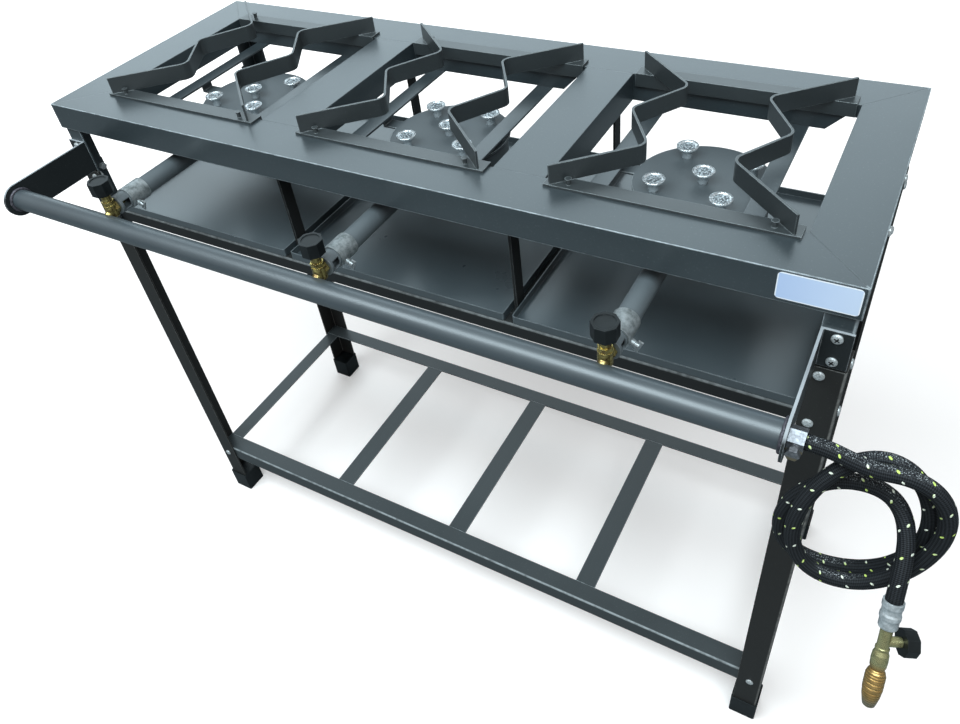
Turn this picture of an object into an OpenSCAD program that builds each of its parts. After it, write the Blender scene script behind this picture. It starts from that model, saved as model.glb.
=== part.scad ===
// Industrial gas stove: three burners in an open steel frame on four angle legs, with lift-off
// pot grates, slide-out drip trays, a lower shelf, a gas manifold with needle valves and a
// braided supply hose. X runs along the stove, Y to the back and Z up from the floor.

/* [Top frame] */
// Length of the top frame
top_w = 1180; // [1100:10:1400]
// Depth of the top frame
top_d = 424; // [400:2:520]
// Height of the top face above the floor
top_h = 960; // [860:5:1050]
// Width of a top rail
rail_w = 70; // [60:1:80]
// Depth of the folded skirts under the rails
skirt_h = 40; // [34:1:60]
// Thickness of the rails' sheet steel
sheet_t = 3; // [2.5:0.5:4]

/* [Legs] */
// Width of the leg angles
leg_w = 38; // [34:1:44]
// Thickness of the leg angles
leg_t = 3; // [2.5:0.5:4]
// Width of the welded stubs that carry the legs
stub_w = 32; // [28:1:33]
// Thickness of the stubs
stub_t = 3; // [2.5:0.5:4]
// Length of the stubs below the top face
stub_drop = 222; // [212:1:240]
// Distance from the top face down to the legs' upper ends
leg_drop = 114; // [112:1:124]
// Inside radius of the folded angles
bend_r = 1; // [0.6:0.2:1.6]
// Height of the plastic feet
foot_h = 48; // [36:1:60]
// Thickness of the feet under the legs
foot_floor = 10; // [6:1:14]
// Wall of the feet round the legs
foot_wall = 2.5; // [2:0.5:4]

/* [Lower shelf] */
// Height of the shelf's top face
shelf_h = 140; // [110:2:240]
// Width of the shelf angles
shelf_w = 32; // [26:1:36]
// Thickness of the shelf angles
shelf_t = 3; // [2.5:0.5:4]
// Width of the shelf's cross bars
shelf_bar_w = 36; // [25:1:50]
// Distance between the middles of the cross bars
shelf_bar_pitch = 268; // [220:2:300]

/* [Drip trays] */
// Distance from the top face down to the tray rails
tray_drop = 190; // [170:1:205]
// Width of the tray rails
tray_rail_w = 20; // [18:1:26]
// Thickness of the tray rails
tray_rail_t = 3; // [2:0.5:4]
// Width of the runners between two trays
runner_w = 30; // [26:1:40]
// Width of the flat hangers
hanger_w = 20; // [14:1:24]
// Thickness of the flat hangers
hanger_t = 4; // [3:0.5:6]
// Height of the trays' lips
tray_lip_h = 12; // [8:1:20]
// Thickness of the trays' sheet
tray_t = 1.5; // [1:0.25:2.5]

/* [Grates] */
// Width of a grate
grate_w = 290; // [270:2:320]
// How far a grate lies over the frame in front and at the back
grate_lap = 17; // [11:1:26]
// Play between a grate's flange and the edge of the opening
lip_play = 2; // [1:0.5:4]
// Height of the bent bars
bar_h = 25; // [18:1:35]
// Thickness of the bars and the strips
bar_t = 3; // [2.5:0.5:5]
// Height of the grates' flanges that hang inside the opening
grate_lip_h = 16; // [8:1:20]
// Bend radius at the middle of a bar
bar_bend_r = 14; // [8:1:20]

/* [Burners] */
// Distance of a burner's middle in front of its bay's middle
burner_forward = 7; // [0:1:10]
// Diameter of the burner plate
plate_d = 175; // [168:1:190]
// Distance from the top face down to the burner plate
plate_drop = 55; // [52:1:60]
// Thickness of the burner plate
plate_t = 3; // [2.5:0.5:4]
// Depth of the drum under the plate
drum_h = 42; // [38:1:60]
// Thickness of the drum's wall
drum_t = 2.5; // [2:0.5:4]
// Radius of the ring of burner caps
cap_ring_r = 63; // [56:1:64]
// Diameter of a burner cap
cap_d = 28; // [22:1:30]
// Height of a burner cap above the plate
cap_h = 17; // [14:1:22]
// Outside diameter of the mixer pipe
mixer_d = 26.9; // [24:0.1:27.5]
// Wall of the mixer pipe
mixer_wall = 2.6; // [2:0.1:3.2]
// Distance from a bay's middle to the middle of its right strap
strap_x = 80; // [79:1:82]
// Distance from a bay's middle to the middle of its left strap
strap_far_x = 110; // [104:1:116]
// Width of the straps
strap_w = 24; // [20:1:26]
// Thickness of the straps
strap_t = 3; // [2:0.5:5]

/* [Gas supply] */
// Distance of the manifold's axis in front of the frame
manifold_reach = 128; // [120:1:150]
// Distance from the top face down to the manifold's axis
manifold_drop = 86; // [84:1:90]
// Outside diameter of the manifold
manifold_d = 30.5; // [28:0.5:33]
// Wall of the manifold
manifold_wall = 3; // [2:0.5:4]
// Height of the bracket arms that hold the manifold
arm_h = 50; // [46:1:54]
// Thickness of the brackets
arm_t = 3; // [2.5:0.5:4]
// Width of the bracket flanges
flange_w = 33; // [28:1:34]
// Distance across the flats of the valve knobs
knob_af = 28; // [22:1:34]
// Height of the valve knobs
knob_h = 19; // [12:1:24]

/* [Hose] */
// Outside diameter of the braided hose
hose_d = 16; // [14:0.5:16]

/* [Hidden] */
$fn = 48;

// Colours
graphite = [0.26, 0.28, 0.30];
dark_steel = [0.15, 0.16, 0.17];
zinc = [0.66, 0.68, 0.70];
brass = [0.80, 0.66, 0.30];
plastic = [0.07, 0.07, 0.08];
tray_steel = [0.38, 0.41, 0.43];

// Clearances
cut = 1;
seat_gap = 0.3;
screw_gap = 0.3;
socket_gap = 0.2;
turn_gap = 0.05;

// Bolts: a domed head, a shank through the plates and a nut behind them
bolt_r = 3;
bolt_head_r = 6;
bolt_head_h = 3;
nut_af = 10;
nut_h = 5;
flange_bolt_x = 17.5;
flange_bolt_inset = 9;
leg_bolt_x = leg_w - 12;
leg_bolt_inset = 12;
tray_bolt_drop = 11;
side_bolt_y = leg_w - 8;
frame_bolt_shares = [0.3, 0.55];
frame_bolt_drop = skirt_h / 2;
shelf_bolt_x = 18;
shelf_bolt_drop = shelf_w * 0.6;

// Places that follow from the sizes above
bay_count = 3;
open_w = (top_w - (bay_count + 1) * rail_w) / bay_count;
open_d = top_d - 2 * rail_w;
grate_d = open_d + 2 * grate_lap;
strip_w = grate_lap + lip_play + bar_t;
leg_face = sheet_t - leg_t;
leg_top = top_h - leg_drop;
stub_low = top_h - stub_drop;
stub_inside = sheet_t + stub_t;
tray_level = top_h - tray_drop;
plate_z = top_h - plate_drop;
manifold_y = -manifold_reach;
manifold_z = top_h - manifold_drop;
manifold_r = manifold_d / 2;
front_reach = manifold_reach + arm_h / 2;
back_reach = max(foot_wall - leg_face, bolt_head_h - leg_face);
front_y = (front_reach - top_d - back_reach) / 2;

function bay_x(bay) = rail_w + open_w / 2 + (bay - 1) * (open_w + rail_w);
function divider_x(divider) = divider * (open_w + rail_w) + rail_w / 2;

// The sub-parts are drawn from the top frame's front left corner, dropped to the floor
module place() {
    translate([-top_w / 2, front_y, 0])
        children();
}

// Turns a corner's part round to one of the four corners
module at_corner(right, back) {
    translate([right ? top_w : 0, back ? top_d : 0, 0])
        mirror([right ? 1 : 0, 0, 0])
            mirror([0, back ? 1 : 0, 0])
                children();
}

// Puts what stands on z = 0 on the point given, along the direction given
module along(point, direction) {
    translate(point)
        rotate([0, acos(direction.z / norm(direction)), atan2(direction.y, direction.x)])
            children();
}

module at_bay(bay) {
    translate([bay_x(bay), top_d / 2, 0])
        children();
}

module at_all_corners() {
    for (right = [false, true])
        for (back = [false, true])
            at_corner(right, back)
                children();
}

// A bolt along +Y whose head seats on y = 0, through a stack of plates
module bolt(stack) {
    rotate([-90, 0, 0]) {
        translate([0, 0, -bolt_head_h])
            bolt_head();
        translate([0, 0, -cut])
            cylinder(r = bolt_r, h = stack + nut_h + 2 * cut);
        translate([0, 0, stack])
            cylinder(d = nut_af / cos(30), h = nut_h, $fn = 6);
    }
}

module bolt_head() {
    dome_shares = [[1, 1], [1, 0.55], [0.8, 0.2], [0.5, 0]];
    rotate_extrude()
        polygon(concat(
            [[0, 0], [0, bolt_head_h]],
            [for (share = dome_shares) [share.x * bolt_head_r, share.y * bolt_head_h]]
        ));
}

module bolt_hole(stack) {
    rotate([-90, 0, 0])
        translate([0, 0, -cut])
            cylinder(r = bolt_r + screw_gap, h = stack + 2 * cut);
}

// Swaps X and Y, so that what lies along X lies along Y
module swap_xy() {
    mirror([1, -1, 0])
        children();
}

// Folded angle profile with its outer corner at the origin
module angle_profile(width, thick) {
    corner = thick + bend_r;
    translate([corner, 0])
        square([width - corner, thick]);
    translate([0, corner])
        square([thick, width - corner]);
    difference() {
        intersection() {
            translate([corner, corner])
                circle(corner);
            square(corner);
        }
        translate([corner, corner])
            circle(bend_r);
    }
}

// An angle along X with a level flange at z = 0 and its outer face at y = 0
module angle_rail(length, width, thick) {
    rotate([90, 0, 90])
        linear_extrude(length)
            mirror([0, 1])
                angle_profile(width, thick);
}

// Top frame
module channel(length) {
    translate([0, 0, top_h - skirt_h])
        difference() {
            cube([length, rail_w, skirt_h]);
            translate([-cut, sheet_t, -cut])
                cube([length + 2 * cut, rail_w - 2 * sheet_t, skirt_h - sheet_t + cut]);
        }
}

module mitred_channel(length) {
    intersection() {
        channel(length);
        linear_extrude(top_h)
            polygon([[0, 0], [length, 0], [length - rail_w, rail_w], [rail_w, rail_w]]);
    }
}

module frame_side() {
    difference() {
        swap_xy()
            mitred_channel(top_d);
        frame_bolt_places()
            bolt_hole(sheet_t);
    }
}

module frame_bolt_places() {
    for (share = frame_bolt_shares)
        translate([0, top_d * share, top_h - frame_bolt_drop])
            rotate([0, 0, -90])
                children();
}

module frame_front() {
    color(graphite)
        place()
            mitred_channel(top_w);
}

// The back skirt has a slanted notch at the right end of each bay
module skirt_notch() {
    low_share = 0.95;
    high_share = 0.4;
    h = skirt_h * (low_share - high_share);
    rotate([90, 0, 0])
        linear_extrude(2 * sheet_t, center = true)
            polygon([
                [-skirt_h * low_share, -cut],
                [-skirt_h * low_share, 0],
                [-skirt_h * high_share, h],
                [0, h],
                [0, -cut]
            ]);
}

module frame_back() {
    color(graphite)
        place()
            difference() {
                translate([0, top_d, 0])
                    mirror([0, 1, 0])
                        mitred_channel(top_w);
                for (bay = [1 : bay_count])
                    translate([bay_x(bay) + open_w / 2, top_d - rail_w + sheet_t / 2, top_h - skirt_h])
                        skirt_notch();
            }
}

module frame_left() {
    color(graphite)
        place()
            frame_side();
}

module frame_right() {
    color(graphite)
        place()
            translate([top_w, 0, 0])
                mirror([1, 0, 0])
                    frame_side();
}

module frame_dividers() {
    color(graphite)
        place()
            for (divider = [1 : bay_count - 1])
                translate([divider_x(divider) - rail_w / 2, rail_w, 0])
                    swap_xy()
                        channel(open_d);
}

// Legs
module leg_bolt_places() {
    leg_bolts_at(leg_top - leg_bolt_inset)
        children();
    tray_bolt_places()
        children();
}

module tray_bolt_places() {
    leg_bolts_at(tray_level - tray_bolt_drop)
        children();
}

module leg_bolts_at(z) {
    translate([leg_bolt_x, leg_face, z])
        children();
    translate([leg_face, side_bolt_y, z])
        rotate([0, 0, -90])
            mirror([1, 0, 0])
                children();
}

module flange_bolt_places() {
    for (side = [-1, 1])
        translate([flange_bolt_x, sheet_t - arm_t, manifold_z + side * (arm_h / 2 - flange_bolt_inset)])
            children();
}

module shelf_bolt_places() {
    translate([shelf_bolt_x, leg_face, shelf_h - shelf_bolt_drop])
        children();
}

module leg_shape() {
    difference() {
        translate([leg_face, leg_face, foot_floor])
            linear_extrude(leg_top - foot_floor)
                angle_profile(leg_w, leg_t);
        leg_bolt_places()
            bolt_hole(leg_t);
        shelf_bolt_places()
            bolt_hole(leg_t);
    }
}

module leg(right, back) {
    color(dark_steel)
        place()
            at_corner(right, back)
                leg_shape();
}

module stub_shape(front) {
    difference() {
        translate([sheet_t, sheet_t, stub_low])
            linear_extrude(top_h - sheet_t - stub_low)
                angle_profile(stub_w, stub_t);
        leg_bolt_places()
            bolt_hole(leg_t + stub_t);
        if (front)
            flange_bolt_places()
                bolt_hole(arm_t + stub_t);
    }
}

module leg_stubs() {
    color(graphite)
        place()
            for (right = [false, true])
                for (back = [false, true])
                    at_corner(right, back)
                        stub_shape(!back);
}

// A square plastic foot with a slot for the leg
module foot_shape() {
    corner_r = 3;
    side = leg_w + 2 * foot_wall;
    slot_w = leg_w + 2 * socket_gap;
    slot_t = leg_t + 2 * socket_gap;
    translate([leg_face - foot_wall, leg_face - foot_wall, 0])
        difference() {
            linear_extrude(foot_h)
                rounded_square([side, side], corner_r);
            translate([foot_wall - socket_gap, foot_wall - socket_gap, foot_floor]) {
                cube([slot_w, slot_t, foot_h]);
                cube([slot_t, slot_w, foot_h]);
            }
        }
}

module rounded_square(size, radius) {
    translate([radius, 0])
        square([size.x - 2 * radius, size.y]);
    translate([0, radius])
        square([size.x, size.y - 2 * radius]);
    for (x = [radius, size.x - radius])
        for (y = [radius, size.y - radius])
            translate([x, y])
                circle(radius);
}

module foot(right, back) {
    color(plastic)
        place()
            at_corner(right, back)
                foot_shape();
}

// Lower shelf
shelf_inset = sheet_t + bend_r;

module shelf_long_rail() {
    difference() {
        translate([shelf_inset, sheet_t, shelf_h])
            angle_rail(top_w - 2 * shelf_inset, shelf_w, shelf_t);
        for (right = [false, true])
            at_corner(right, false)
                shelf_bolt_places()
                    bolt_hole(leg_t + shelf_t);
    }
}

module shelf_side_rail() {
    translate([sheet_t, sheet_t + shelf_w, shelf_h])
        swap_xy()
            angle_rail(top_d - 2 * (sheet_t + shelf_w), shelf_w, shelf_t);
}

module shelf_front() {
    color(dark_steel)
        place()
            shelf_long_rail();
}

module shelf_back() {
    color(dark_steel)
        place()
            translate([0, top_d, 0])
                mirror([0, 1, 0])
                    shelf_long_rail();
}

module shelf_left() {
    color(dark_steel)
        place()
            shelf_side_rail();
}

module shelf_right() {
    color(dark_steel)
        place()
            translate([top_w, 0, 0])
                mirror([1, 0, 0])
                    shelf_side_rail();
}

module shelf_bars() {
    first = sheet_t + shelf_w;
    color(dark_steel)
        place()
            for (step = [-1 : 1])
                translate([
                    top_w / 2 + step * shelf_bar_pitch - shelf_bar_w / 2,
                    first,
                    shelf_h - shelf_t
                ])
                    cube([shelf_bar_w, top_d - 2 * first, shelf_t]);
}

// Tray frame
tray_inset = stub_inside + bend_r;

module tray_rail_front() {
    color(dark_steel)
        place()
            tray_long_rail();
}

module tray_long_rail() {
    difference() {
        translate([tray_inset, stub_inside, tray_level])
            angle_rail(top_w - 2 * tray_inset, tray_rail_w, tray_rail_t);
        for (right = [false, true])
            at_corner(right, false)
                tray_bolt_places()
                    bolt_hole(leg_t + stub_t + tray_rail_t);
    }
}

module tray_side_rail() {
    difference() {
        translate([stub_inside, stub_inside + tray_rail_w, tray_level])
            swap_xy()
                angle_rail(top_d - 2 * (stub_inside + tray_rail_w), tray_rail_w, tray_rail_t);
        for (back = [false, true])
            at_corner(false, back)
                tray_bolt_places()
                    bolt_hole(leg_t + stub_t + tray_rail_t);
    }
}

module tray_rail_back() {
    color(dark_steel)
        place()
            translate([0, top_d, 0])
                mirror([0, 1, 0])
                    tray_long_rail();
}

module tray_rail_left() {
    color(dark_steel)
        place()
            tray_side_rail();
}

module tray_rail_right() {
    color(dark_steel)
        place()
            translate([top_w, 0, 0])
                mirror([1, 0, 0])
                    tray_side_rail();
}

module tray_runner(divider) {
    first = stub_inside + tray_rail_w;
    length = top_d - 2 * first;
    color(dark_steel)
        place()
            translate([divider_x(divider), first, tray_level]) {
                translate([-runner_w / 2, 0, -tray_rail_t])
                    cube([runner_w, length, tray_rail_t]);
                translate([-tray_rail_t / 2, 0, -tray_rail_w])
                    cube([tray_rail_t, length, tray_rail_w]);
            }
}

hanger_inset = 43;

module tray_hangers() {
    color(dark_steel)
        place()
            for (divider = [1 : bay_count - 1])
                for (y = [hanger_inset, top_d - hanger_inset])
                    translate([divider_x(divider) - hanger_t / 2, y - hanger_w / 2, tray_level])
                        cube([hanger_t, hanger_w, top_h - sheet_t - tray_level]);
}

// Drip trays
tray_side_gap = 3;
tray_split = 12;
tray_face_gap = 2;

function tray_left(bay) =
    bay == 1 ? leg_face + leg_w + tray_side_gap : divider_x(bay - 1) + tray_split / 2;
function tray_right(bay) =
    bay == bay_count ? top_w - leg_face - leg_w - tray_side_gap : divider_x(bay) - tray_split / 2;

module drip_tray(bay) {
    corner_r = 4;
    first = stub_inside + tray_face_gap;
    size = [tray_right(bay) - tray_left(bay), top_d - 2 * first];
    color(tray_steel)
        place()
            translate([tray_left(bay), first, tray_level + seat_gap])
                difference() {
                    linear_extrude(tray_lip_h)
                        rounded_square(size, corner_r);
                    translate([tray_t, tray_t, tray_t])
                        linear_extrude(tray_lip_h)
                            rounded_square(size - [2 * tray_t, 2 * tray_t], corner_r - tray_t);
                }
}

// Grates: two bent bars on two angles
bar_end_x = 138;
bar_end_inset = 2;
bar_knee_x = 49;
bar_knee_y = 76;
bar_waist_x = 98;
bend_steps = 6;
peg_x = 116;
peg_inset = 9;
peg_r = 2.8;
peg_h = 8;
peg_head_r = 4.2;
peg_head_h = 3;

function unit(v) = v / norm(v);
function left_of(v) = [-v.y, v.x];
function turned(v, angle) = [v.x * cos(angle) - v.y * sin(angle), v.x * sin(angle) + v.y * cos(angle)];

// Points along a bent strip's middle, each with the normal there
function end_station(point, heading) = [[point, left_of(heading)]];
function bend_stations(before, corner, after, radius) =
    let (
        d1 = unit(corner - before),
        d2 = unit(after - corner),
        turn = atan2(d1.x * d2.y - d1.y * d2.x, d1 * d2),
        side = sign(turn),
        middle = corner - d1 * radius * tan(abs(turn) / 2) + left_of(d1) * side * radius
    )
    [for (k = [0 : bend_steps]) let (n = turned(left_of(d1), turn * k / bend_steps)) [middle - n * side * radius, n]];
function strip_stations(points, radius) =
    let (last = len(points) - 1)
    [for (i = [0 : last]) each (
        i == 0 ? end_station(points[0], unit(points[1] - points[0])) :
        i == last ? end_station(points[last], unit(points[last] - points[last - 1])) :
        bend_stations(points[i - 1], points[i], points[i + 1], radius)
    )];

module bent_strip(points, radius, thick) {
    stations = strip_stations(points, radius);
    last = len(stations) - 1;
    polygon(concat(
        [for (s = stations) s[0] + s[1] * thick / 2],
        [for (i = [last : -1 : 0]) stations[i][0] - stations[i][1] * thick / 2]
    ));
}

module grate_shape() {
    end_y = grate_d / 2 - bar_end_inset;
    bar_points = [
        [bar_end_x, -end_y],
        [bar_knee_x, -bar_knee_y],
        [bar_waist_x, 0],
        [bar_knee_x, bar_knee_y],
        [bar_end_x, end_y]
    ];
    for (back = [0, 1])
        mirror([0, back, 0]) {
            translate([-grate_w / 2, -grate_d / 2, 0])
                cube([grate_w, strip_w, bar_t]);
            translate([-grate_w / 2, strip_w - bar_t - grate_d / 2, -grate_lip_h])
                cube([grate_w, bar_t, grate_lip_h + bar_t]);
            for (side = [-1, 1])
                translate([side * peg_x, peg_inset - grate_d / 2, bar_t])
                    peg();
        }
    for (right = [0, 1])
        mirror([right, 0, 0])
            translate([0, 0, bar_t])
                linear_extrude(bar_h)
                    bent_strip(bar_points, bar_bend_r, bar_t);
}

module peg() {
    cylinder(r = peg_r, h = peg_h);
    translate([0, 0, peg_h - peg_head_h])
        cylinder(r1 = peg_r, r2 = peg_head_r, h = peg_head_h);
}

module grate(bay) {
    color(graphite)
        place()
            at_bay(bay)
                translate([0, 0, top_h + seat_gap])
                    grate_shape();
}

// Burners
drum_inset = 5;
drum_r = plate_d / 2 - drum_inset;
mixer_r = mixer_d / 2;
mixer_z = plate_z - plate_t - mixer_r + 0.5;
mixer_front = 97;
port_length = 12;
port_height = 13;
port_front = 1;
nose_disc_t = 3;
jet_hole_r = 6.5;
cap_angles = [41, 48, 36];
cap_spigot_r = 5.5;
cap_spigot_h = 5;
lug_w = 12;
lug_l = 20;
lug_t = 3;
lug_hold = 6;
strap_end = 40;

function cap_places(bay) =
    let (first = cap_angles[(bay - 1) % len(cap_angles)])
    concat([[0, 0]], [for (k = [0 : 3]) cap_ring_r * [cos(first + 90 * k), sin(first + 90 * k)]]);

module at_burner(bay) {
    at_bay(bay)
        translate([0, -burner_forward, 0])
            children();
}

module burner_shape(bay) {
    strap_low = top_h - skirt_h - strap_t;
    reach = top_d / 2 - burner_forward + mixer_front;
    difference() {
        union() {
            translate([0, 0, plate_z - plate_t])
                cylinder(d = plate_d, h = plate_t, $fn = 96);
            translate([0, 0, plate_z - drum_h])
                cylinder(r = drum_r, h = drum_h, $fn = 96);
            translate([strap_x - strap_w / 4 - lug_w / 2, -lug_l / 2, plate_z])
                cube([lug_w, lug_l, strap_low - plate_z]);
            translate([-strap_far_x, -lug_l / 2, plate_z - lug_t])
                cube([strap_far_x - plate_d / 2 + lug_hold, lug_l, lug_t]);
            translate([-strap_far_x, -lug_l / 2, plate_z - lug_t])
                cube([lug_t, lug_l, strap_low - plate_z + lug_t]);
            mixer_tube(mixer_r, reach + nose_disc_t);
        }
        translate([0, 0, plate_z - drum_h + drum_t])
            cylinder(r = drum_r - drum_t, h = drum_h - drum_t - plate_t, $fn = 96);
        mixer_tube(mixer_r - mixer_wall, reach);
        translate([0, cut - reach, mixer_z])
            rotate([90, 0, 0])
                cylinder(r = jet_hole_r, h = nose_disc_t + 2 * cut);
        translate([-mixer_d, port_front - reach, mixer_z - port_height / 2])
            cube([2 * mixer_d, port_length, port_height]);
        for (spot = cap_places(bay))
            translate([spot.x, spot.y, plate_z - plate_t - cut])
                cylinder(r = cap_spigot_r + socket_gap, h = plate_t + 2 * cut);
    }
}

// A solid round bar from the drum's wall to the front, in a burner's own place
module mixer_tube(radius, reach) {
    start = drum_r - 2 * drum_t;
    translate([0, -start, mixer_z])
        rotate([90, 0, 0])
            cylinder(r = radius, h = reach - start);
}

module burner(bay) {
    color(graphite)
        place()
            at_burner(bay)
                burner_shape(bay);
}

module cap_shape() {
    stem_r_share = 0.48;
    under_share = 0.5;
    rim_share = 0.14;
    dish_share = 0.8;
    r = cap_d / 2;
    rotate_extrude()
        polygon([
            [0, -cap_spigot_h],
            [cap_spigot_r, -cap_spigot_h],
            [cap_spigot_r, 0],
            [r * stem_r_share, 0],
            [r * stem_r_share, cap_h * under_share],
            [r * (1 - rim_share), cap_h * (1 - 2 * rim_share)],
            [r, cap_h * (1 - rim_share)],
            [r, cap_h],
            [r * dish_share, cap_h],
            [r * dish_share * 0.94, cap_h * (1 - rim_share / 2)],
            [0, cap_h]
        ]);
}

module burner_caps(bay) {
    color(zinc)
        place()
            at_burner(bay)
                for (spot = cap_places(bay))
                    translate([spot.x, spot.y, plate_z])
                        cap_shape();
}

module burner_straps() {
    color(graphite)
        place()
            for (bay = [1 : bay_count])
                for (x = [-strap_far_x, strap_x])
                    translate([bay_x(bay) + x - strap_w / 2, strap_end, top_h - skirt_h - strap_t])
                        cube([strap_w, top_d - 2 * strap_end, strap_t]);
}

// Air shutters and their wing screws
shutter_l = 32;
shutter_wall = 1.8;
shutter_gap = 0.3;
shutter_front = mixer_front - 15;
boss_r = 4;
boss_h = 4;
boss_back = 8;
wing_tilt = 25;
screw_r = 2;
wing_head_r = 3.6;
wing_head_h = 5;
wing_span = 15;
wing_t = 2;
wing_h = 6;

module on_mixer(bay) {
    translate([bay_x(bay), 0, mixer_z])
        children();
}

// Points outwards from the mixer pipe at the screw's place
module at_wing_screw() {
    translate([0, boss_back - shutter_front, 0])
        rotate([0, 90 + wing_tilt, 0])
            children();
}

module air_shutter(bay) {
    outer = mixer_r + shutter_gap + shutter_wall;
    color(zinc)
        place()
            on_mixer(bay)
                difference() {
                    union() {
                        translate([0, shutter_l - shutter_front, 0])
                            rotate([90, 0, 0])
                                cylinder(r = outer, h = shutter_l);
                        at_wing_screw()
                            cylinder(r = boss_r, h = outer + boss_h);
                    }
                    translate([0, shutter_l - shutter_front + cut, 0])
                        rotate([90, 0, 0])
                            cylinder(r = mixer_r + shutter_gap, h = shutter_l + 2 * cut);
                    at_wing_screw()
                        cylinder(r = screw_r + turn_gap, h = outer + boss_h + cut);
                }
}

module wing_screw(bay) {
    outer = mixer_r + shutter_gap + shutter_wall;
    color(zinc)
        place()
            on_mixer(bay)
                at_wing_screw() {
                    translate([0, 0, mixer_r + shutter_gap])
                        cylinder(r = screw_r, h = outer + boss_h - mixer_r);
                    translate([0, 0, outer + boss_h + seat_gap]) {
                        cylinder(r = wing_head_r, h = wing_head_h);
                        translate([-wing_span / 2, -wing_t / 2, wing_head_h / 3])
                            cube([wing_span, wing_t, wing_h]);
                    }
                }
}

// Gas manifold and its brackets
bracket_x = leg_face + flange_w - arm_t + 2;
arm_end_r = arm_h / 2;
valve_stud_r = 6;
valve_back = 19;
valve_up = 14;
stud_tilt = atan2(valve_up, valve_back);
nipple_r = 8;

module manifold() {
    length = top_w - 2 * (bracket_x + arm_t);
    color(graphite)
        place()
            translate([bracket_x + arm_t, manifold_y, manifold_z])
                difference() {
                    rotate([0, 90, 0])
                        cylinder(r = manifold_r, h = length);
                    translate([-cut, 0, 0])
                        rotate([0, 90, 0])
                            cylinder(r = manifold_r - manifold_wall, h = length + 2 * cut);
                    for (bay = [1 : bay_count])
                        translate([bay_x(bay) - bracket_x - arm_t, 0, 0])
                            rotate([stud_tilt - 90, 0, 0])
                                cylinder(r = valve_stud_r + socket_gap, h = manifold_d);
                }
}

module bracket_shape(port) {
    difference() {
        union() {
            translate([bracket_x + arm_t - flange_w, sheet_t - arm_t, manifold_z - arm_h / 2])
                cube([flange_w, arm_t, arm_h]);
            translate([bracket_x, manifold_y, manifold_z - arm_h / 2])
                cube([arm_t, sheet_t - manifold_y, arm_h]);
            translate([bracket_x, manifold_y, manifold_z])
                rotate([0, 90, 0])
                    cylinder(r = arm_end_r, h = arm_t);
        }
        flange_bolt_places()
            bolt_hole(arm_t);
        if (port)
            translate([bracket_x - cut, manifold_y, manifold_z])
                rotate([0, 90, 0])
                    cylinder(r = nipple_r + socket_gap, h = arm_t + 2 * cut);
    }
}

module bracket_left() {
    color(dark_steel)
        place()
            bracket_shape(false);
}

module bracket_right() {
    color(dark_steel)
        place()
            at_corner(true, false)
                bracket_shape(true);
}

// Valves: a brass body behind the manifold's top, with its jet towards the mixer
valve_r = 8.5;
valve_h = 18;
bonnet_sink = 2;
bonnet_af = 15;
bonnet_h = 8;
collar_r = 6.5;
collar_h = 8.5;
stem_r = 4;
stem_show = 5;
stem_hold = 20;
outlet_r = 5;
outlet_nut_af = 17;
outlet_nut_start = 21;
outlet_nut_l = 6.5;
jet_r = 5;
jet_tip_r = 3;
jet_l = 14;
valve_top = valve_up + valve_h / 2;
collar_top = valve_top - bonnet_sink + bonnet_h + collar_h;
knob_low = collar_top + stem_show;

module at_valve(bay) {
    translate([bay_x(bay), manifold_y, manifold_z])
        children();
}

module valve(bay) {
    outlet_z = mixer_z - manifold_z;
    color(brass)
        place()
            at_valve(bay)
                difference() {
                    union() {
                        difference() {
                            union() {
                                translate([0, valve_back, valve_top - valve_h])
                                    cylinder(r = valve_r, h = valve_h);
                                translate([0, valve_back, outlet_z])
                                    rotate([-90, 0, 0])
                                        cylinder(r = outlet_r, h = outlet_nut_start + outlet_nut_l - valve_back);
                            }
                            translate([-manifold_d, 0, 0])
                                rotate([0, 90, 0])
                                    cylinder(r = manifold_r + socket_gap, h = 2 * manifold_d);
                        }
                        rotate([stud_tilt - 90, 0, 0])
                            translate([0, 0, manifold_r - manifold_wall])
                                cylinder(r = valve_stud_r, h = valve_r);
                        translate([0, valve_back, valve_top - bonnet_sink])
                            cylinder(d = bonnet_af / cos(30), h = bonnet_h, $fn = 6);
                        translate([0, valve_back, valve_top - bonnet_sink + bonnet_h])
                            cylinder(r = collar_r, h = collar_h);
                        translate([0, outlet_nut_start, outlet_z])
                            rotate([-90, 0, 0])
                                cylinder(d = outlet_nut_af / cos(30), h = outlet_nut_l, $fn = 6);
                        translate([0, outlet_nut_start + outlet_nut_l, outlet_z])
                            rotate([-90, 0, 0])
                                cylinder(r1 = jet_r, r2 = jet_tip_r, h = jet_l);
                    }
                    translate([0, valve_back, collar_top - stem_hold])
                        cylinder(r = stem_r + turn_gap, h = stem_hold + cut);
                }
}

module valve_knob(bay) {
    dish_r_share = 0.40;
    dish_depth = 1;
    hub_r_share = 0.30;
    hub_h = 4;
    color(plastic)
        place()
            at_valve(bay) {
                translate([0, valve_back, collar_top - stem_hold + seat_gap])
                    cylinder(r = stem_r, h = stem_hold + stem_show);
                translate([0, valve_back, knob_low - hub_h])
                    cylinder(r = knob_af * hub_r_share, h = hub_h);
                translate([0, valve_back, knob_low])
                    difference() {
                        rotate([0, 0, 22.5])
                            cylinder(d = knob_af / cos(22.5), h = knob_h, $fn = 8);
                        translate([0, 0, knob_h - dish_depth])
                            cylinder(r = knob_af * dish_r_share, h = dish_depth + cut);
                    }
            }
}

// Inlet fitting outside the right bracket: a hexagon tee with a plugged test port
inlet_af = 22;
inlet_l = 15;
hose_sink = 5;
test_port_r = 6;
test_port_reach = 16;
test_plug_af = 12;
test_plug_h = 5;
inlet_x = top_w - bracket_x;

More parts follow.
